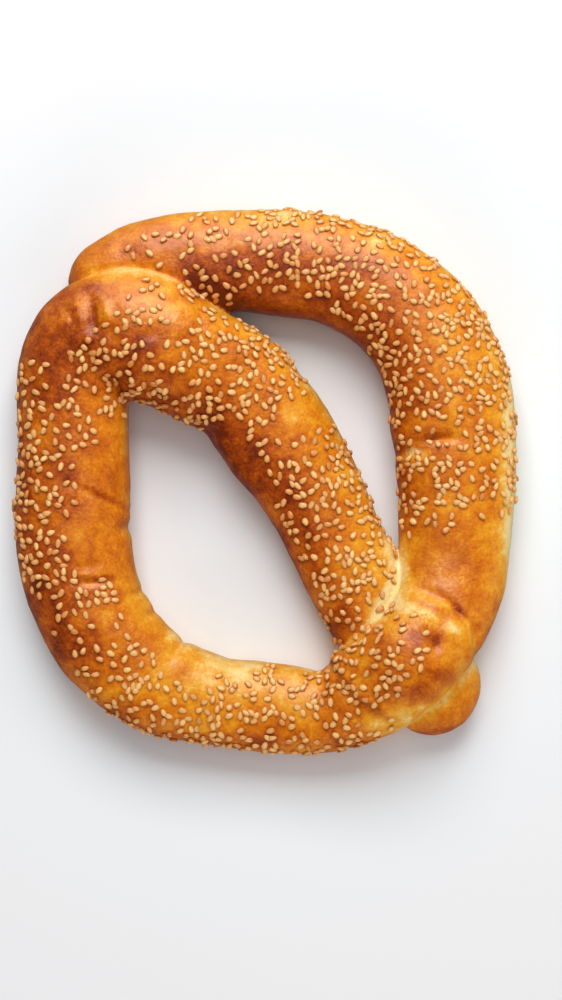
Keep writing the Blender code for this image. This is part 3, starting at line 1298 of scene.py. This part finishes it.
@dataclass
class Sesame:
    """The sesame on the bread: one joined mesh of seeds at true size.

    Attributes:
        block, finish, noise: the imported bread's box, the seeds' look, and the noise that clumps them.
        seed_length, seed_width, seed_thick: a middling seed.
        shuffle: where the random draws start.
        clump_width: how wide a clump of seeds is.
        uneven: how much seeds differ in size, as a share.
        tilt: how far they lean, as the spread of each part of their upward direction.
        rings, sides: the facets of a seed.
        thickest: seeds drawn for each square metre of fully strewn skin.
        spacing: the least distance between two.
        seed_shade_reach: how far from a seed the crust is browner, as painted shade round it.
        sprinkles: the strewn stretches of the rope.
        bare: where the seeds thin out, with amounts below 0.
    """

    block: Block
    finish: SesameFinish = field(default_factory=SesameFinish)
    noise: DoughNoise = field(default_factory=lambda: DoughNoise(5))
    seed_length: float = 3.1 * MM
    seed_width: float = 2.1 * MM
    seed_thick: float = 1.3 * MM
    shuffle: int = 23
    clump_width: float = 7.0 * MM
    uneven: float = 0.07
    tilt: float = 0.20
    rings: int = 6
    sides: int = 8
    thickest: float = 0.185 / MM**2
    spacing: float = 1.85 * MM
    seed_shade_reach: float = 2.4 * MM
    sprinkles: tuple[Sprinkle, ...] = (
        Sprinkle(26, 44, -0.5, 0.6, 0.15), Sprinkle(44, 70, -0.8, 0.8, 0.45),
        Sprinkle(70, 98, -0.55, 1.0, 0.72), Sprinkle(98, 126, -0.75, 1.0, 0.66),
        Sprinkle(126, 156, -1.1, -0.3, 1.0), Sprinkle(126, 168, -0.3, 0.8, 0.80),
        Sprinkle(156, 168, -1.1, -0.3, 0.85), Sprinkle(126, 168, 0.8, 1.1, 0.60),
        Sprinkle(168, 176, -1.1, 1.0, 0.50), Sprinkle(176, 198, -1.1, 0.9, 0.85),
        Sprinkle(198, 210, -1.1, -0.1, 0.90), Sprinkle(198, 210, 0.0, 1.0, 0.15),
        Sprinkle(210, 238, -0.8, 0.8, 0.10), Sprinkle(246, 264, -1.1, 0.0, 0.65),
        Sprinkle(264, 284, -1.1, 0.1, 1.0), Sprinkle(246, 284, 0.1, 0.8, 0.38),
        Sprinkle(286, 322, -0.9, 0.9, 0.68), Sprinkle(322, 340, -0.5, 1.0, 0.80),
        Sprinkle(340, 364, -0.3, 1.0, 0.64), Sprinkle(364, 378, -0.4, 0.8, 0.42),
        Sprinkle(378, 392, -0.6, 0.8, 0.22), Sprinkle(392, 406, -0.5, 0.4, 0.55),
        Sprinkle(404, 420, 0.0, 0.8, 0.60), Sprinkle(420, 448, -0.05, 0.95, 0.78),
        Sprinkle(448, 462, -0.5, -0.1, 0.50), Sprinkle(448, 462, 0.05, 0.9, 0.78),
        Sprinkle(462, 480, -0.9, 0.9, 0.64), Sprinkle(480, 504, -1.1, 0.1, 0.75),
        Sprinkle(482, 514, 0.2, 0.8, 0.34), Sprinkle(504, 548, -1.1, -0.2, 0.98),
        Sprinkle(516, 548, -0.1, 1.0, 0.66), Sprinkle(548, 562, -0.6, 1.0, 0.55),
        Sprinkle(562, 576, -0.7, 0.15, 0.60), Sprinkle(576, 590, -0.4, 1.0, 0.66),
        Sprinkle(588, 630, -0.7, 1.05, 0.90), Sprinkle(630, 644, -0.9, 0.7, 0.55),
    )
    bare: tuple[Patch, ...] = (
        Patch(-0.78, 0.62, 16, 15, -1.0), Patch(-0.70, 0.73, 10, 8, -1.0), Patch(-0.29, 0.59, 6, 7, -0.6),
        Patch(0.70, -0.55, 9, 9, -0.8), Patch(0.62, -0.78, 9, 8, -1.0), Patch(0.80, -0.80, 12, 12, -1.0),
        Patch(0.76, -0.30, 14, 10, -0.7), Patch(-0.64, -0.10, 9, 22, -0.8), Patch(-0.10, 0.05, 8, 12, -0.8),
        Patch(-0.15, 0.18, 5, 5, -0.9),
    )

    def strew(self, mesh: bpy.types.Mesh, placed: OnRope) -> bpy.types.Object:
        """Strews the seeds over the skin, and stores at the skin's points how near they are to a seed, which
        darkens the crust there as painted shade.

        Args:
            mesh: the bread's skin.
            placed: where each of its points lies on the rope.

        Returns:
            The piece.
        """
        rng = np.random.default_rng(self.shuffle)
        points, normals = point_array(mesh), point_array(mesh, "normal")
        clumps = np.clip(1.0 + 0.5 * self.noise.layers(points, self.clump_width, 2), 0.3, 1.6)
        bare = patchwork(self.bare, self.block, points)
        cover = np.clip(sum(sprinkle.cover(placed) for sprinkle in self.sprinkles), 0.0, 1.0)
        cover = np.clip(cover + bare, 0.0, 1.0) * clumps * smooth_step(normals[:, 2], 0.0, 0.45)
        picked = self._thinned(mesh, cover, rng)
        # painted shade: the crust darkens beside each seed, by how near the seed is
        store(mesh, "seed_shade", self._nearness(points, placed.leg, picked))
        # each seed takes the crust's brownness beneath it, painted light and shade included, plus random
        # toasting
        toast_and_shade = 0.75 * number_array(mesh, "browning_and_shade")[picked] + rng.normal(-0.05, 0.22, len(picked))
        return self._joined(self._laid(points[picked], normals[picked], rng), np.clip(toast_and_shade, 0.0, 1.0))

    def _nearness(self, points: Array, legs: Array, picked: Array) -> Array:
        """exp(-(d / reach)^2) of each point's distance d to the nearest seed on its own leg.

        Args:
            points: the skin's points.
            legs: the leg of each.
            picked: the numbers of the points that get a seed.

        Returns:
            A number from 0 to 1 for each point.
        """
        near = np.zeros(len(points))
        for leg in Leg:
            squared = squared_gaps(points[legs == leg], points[picked[legs[picked] == leg]])
            near[legs == leg] = np.exp(-squared.min(axis=1) / self.seed_shade_reach**2)
        return near

    def _thinned(self, mesh: bpy.types.Mesh, cover: Array, rng: np.random.Generator) -> Array:
        """Draws points by their cover and share of the skin, and drops those that an earlier one crowds.

        Args:
            mesh: the bread's skin.
            cover: how thickly each point is strewn, 0 to 1.
            rng: the random numbers.

        Returns:
            The numbers of the points that get a seed.
        """
        area = sum(face.area for face in mesh.polygons) / len(mesh.vertices)
        drawn = rng.permutation(np.flatnonzero(rng.random(len(cover)) < cover * area * self.thickest))
        spots = point_array(mesh)[drawn]
        crowded = np.tril(squared_gaps(spots, spots) < self.spacing**2, k=-1).any(axis=1)
        return drawn[~crowded]

    def _laid(self, spots: Array, normals: Array, rng: np.random.Generator) -> dict[str, Array]:
        """Lays the seeds flat on the skin, turned and tilted at random.

        Args:
            spots: where they lie.
            normals: the skin's directions there.
            rng: the random numbers.

        Returns:
            The seeds' centres, three axes and sizes, by name.
        """
        count = len(spots)
        up = normals + rng.normal(0.0, self.tilt, (count, 3))
        up /= np.linalg.norm(up, axis=1)[:, None]
        ahead = rng.normal(size=(count, 3))
        ahead -= up * (ahead * up).sum(axis=1)[:, None]
        ahead /= np.linalg.norm(ahead, axis=1)[:, None]
        middling = (self.seed_length, self.seed_width, self.seed_thick)
        size = rng.normal(1.0, self.uneven, (count, 3)) * middling
        centre = spots + normals * (self.seed_thick * rng.uniform(0.10, 0.38, count))[:, None]
        return {"centre": centre, "ahead": ahead, "side": np.cross(up, ahead), "up": up, "size": size}

    def _shape(self) -> tuple[Array, Array, Array]:
        """One seed one unit long, wide and thick: half width sin(a)^0.75 (1 + 0.22 cos a), a from end to end.

        Returns:
            Its points, quads and triangles.
        """
        bend = np.linspace(0.0, np.pi, self.rings + 2)[1:-1]
        turn = np.linspace(0.0, 2.0 * np.pi, self.sides, endpoint=False)
        half = 0.5 * np.sin(bend) ** 0.75 * (1.0 + 0.22 * np.cos(bend))
        x = np.repeat(-0.5 * np.cos(bend)[:, None], self.sides, axis=1)
        y = half[:, None] * np.cos(turn)
        z = half[:, None] * np.sin(turn)
        tips = [[-0.5, 0.0, 0.0], [0.5, 0.0, 0.0]]
        points = np.concatenate([np.stack([x, y, z], axis=2).reshape(-1, 3), tips])
        return points, *tube_faces(self.rings, self.sides)

    def _joined(self, seeds: dict[str, Array], toast_and_shade: Array) -> bpy.types.Object:
        """Places a copy of the seed's shape on every spot and joins them.

        Args:
            seeds: their centres, axes and sizes.
            toast_and_shade: how toasted each is, 0 to 1, including painted shade taken from the crust
                beneath.

        Returns:
            The piece.
        """
        shape, quads, triangles = self._shape()
        count, each = len(seeds["centre"]), len(shape)
        local = shape[None, :, :] * seeds["size"][:, None, :]
        axes = np.stack([seeds["ahead"], seeds["side"], seeds["up"]], axis=1)
        points = seeds["centre"][:, None, :] + np.einsum("npa,nac->npc", local, axes)
        shift = (np.arange(count) * each)[:, None, None]
        mesh = new_mesh(
            "sesame",
            points.reshape(-1, 3),
            (quads[None] + shift).reshape(-1, 4),
            (triangles[None] + shift).reshape(-1, 3),
        )
        store(mesh, "toast_and_shade", np.repeat(toast_and_shade, each))
        # painted shade: darker towards each seed's edge
        edge = np.hypot(shape[:, 0] * 2.0, shape[:, 1] * 2.0)
        store(mesh, "rim_shade", np.tile(smooth_step(edge, 0.6, 1.05), count))
        return new_piece("sesame", mesh, self.finish.make())


# ---- The studio ----


@dataclass(frozen=True)
class TableFinish:
    """A matt white table top, cooler in the middle to even out the warm light off the bread."""

    white: Colour = (0.885, 0.885, 0.895)
    cool: Colour = (0.85, 0.89, 0.915)

    def make(self) -> bpy.types.Material:
        """Builds the material: cool within 0.1 m of the origin, and plain white from 0.18 m.

        Returns:
            The material.
        """
        r = Recipe("table")
        away = r.node("ShaderNodeVectorMath", {"operation": "LENGTH"}, {0: r.place()}, "Value")
        colour = r.mix(away.ramp(0.1, 0.18), self.cool, self.white)
        return r.dress(Base_Color=colour, Roughness=0.75, Specular_IOR_Level=0.2)


@dataclass
class Studio:
    """The pale table, the lights and the camera that looks straight down.

    The main light is a soft window on the bread's far side. A ceiling and two low cards, which don't show as
    reflections, fill its shadows, and a far wall shows only as a reflection.

    Attributes:
        block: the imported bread's box.
        table_side: the side of the table top.
        table_gap: how far it lies below the bread.
        sky, sky_strength: the colour and strength of the even light from all round.
        lamp_distance: from the origin to each light.
        view_length: how much the picture shows from top to bottom.
        view_level: the height at which it does.
        camera_height: above the table.
        look_right, look_up: what the camera looks at, from the origin.
    """

    block: Block
    table_side: float = 6.0
    table_gap: float = 0.02 * MM
    sky: Colour = (0.96, 0.98, 1.0)
    sky_strength: float = 0.12
    lamp_distance: float = 1.2
    view_length: float = 0.360
    view_level: float = 13.0 * MM
    camera_height: float = 0.85
    look_right: float = 5.3 * MM
    look_up: float = -6.4 * MM

    def build(self) -> None:
        """Builds the table, the lights and the camera."""
        self._table()
        self._sky()
        self._lamp("window", azimuth=90.0, elevation=50.0, side=0.75, power=13.4)
        self._lamp("ceiling", azimuth=90.0, elevation=89.0, side=0.75, power=2.2, shines=False)
        self._lamp("near_card", azimuth=270.0, elevation=15.0, side=0.75, power=6.4, shines=False)
        self._lamp("side_card", azimuth=0.0, elevation=15.0, side=0.75, power=3.6, shines=False)
        self._lamp("far_wall", azimuth=95.0, elevation=22.0, side=1.3, power=14.0, lights=False)
        self._camera()

    def _table(self) -> None:
        """A large square just under the bread."""
        half = self.table_side / 2.0
        corners = np.array([[-half, -half, 0], [half, -half, 0], [half, half, 0], [-half, half, 0]])
        corners[:, 2] = self.block.low[2] - self.table_gap
        mesh = new_mesh("table", corners, np.array([[0, 1, 2, 3]]), np.empty((0, 3), dtype=int))
        table = new_piece("table", mesh, TableFinish().make())
        table.visible_glossy = False

    def _sky(self) -> None:
        """Even white light from all round."""
        world = bpy.data.worlds.new("studio")
        bpy.context.scene.world = world
        world.use_nodes = True
        background = world.node_tree.nodes["Background"]
        background.inputs["Color"].default_value = (*self.sky, 1.0)
        background.inputs["Strength"].default_value = self.sky_strength

    def _lamp(
        self,
        name: str,
        azimuth: float,
        elevation: float,
        side: float,
        power: float,
        shines: bool = True,
        lights: bool = True,
    ) -> None:
        """Adds a square soft light that faces the bread.

        Args:
            name: the light's name.
            azimuth: its direction from the bread, in degrees from the right towards the top.
            elevation: its height above the table, in degrees.
            side: its side in metres.
            power: its power in watts.
            shines: whether it shows as a reflection in glossy things.
            lights: whether it lights things, and doesn't only show as a reflection.
        """
        light = bpy.data.lights.new(name, "AREA")
        light.shape = "SQUARE"
        light.size = side
        light.energy = power
        turn, rise = math.radians(azimuth), math.radians(elevation)
        lamp = bpy.data.objects.new(name, light)
        bpy.context.scene.collection.objects.link(lamp)
        lamp.visible_camera = False
        lamp.visible_glossy = shines
        lamp.visible_diffuse = lights
        lamp.location = (
            self.lamp_distance * math.cos(rise) * math.cos(turn),
            self.lamp_distance * math.cos(rise) * math.sin(turn),
            self.lamp_distance * math.sin(rise),
        )
        lamp.rotation_euler = (math.pi / 2.0 - rise, 0.0, turn + math.pi / 2.0)

    def _camera(self) -> None:
        """A camera straight above, whose picture is view_length tall at the level of the bread's outline."""
        lens = bpy.data.cameras.new("camera")
        lens.sensor_fit = "VERTICAL"
        lens.sensor_height = 36.0
        lens.lens = lens.sensor_height * (self.camera_height - self.view_level) / self.view_length
        camera = bpy.data.objects.new("camera", lens)
        bpy.context.scene.collection.objects.link(camera)
        camera.location = (self.look_right, self.look_up, self.camera_height)
        bpy.context.scene.camera = camera


def main() -> None:
    """Builds the bread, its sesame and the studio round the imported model, and notes both sizes."""
    logging.basicConfig(level=logging.INFO, format="%(name)s: %(message)s")
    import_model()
    low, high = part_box(BREAD_NODE)
    block = Block(np.array(low), np.array(high))

    Studio(block).build()
    rope = Rope(block)
    bread, placed = Bread(rope, block).build()
    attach(bread, "root")
    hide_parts(BREAD_NODE)
    LOG.info("bread: %d points, rope %.0f mm long", len(bread.data.vertices), rope.length / MM)

    sesame = Sesame(block).strew(bread.data, placed)
    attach(sesame, "root")
    LOG.info("sesame: %d points", len(sesame.data.vertices))

    bpy.context.scene.view_settings.view_transform = "Standard"


if __name__ == "__main__":
    main()
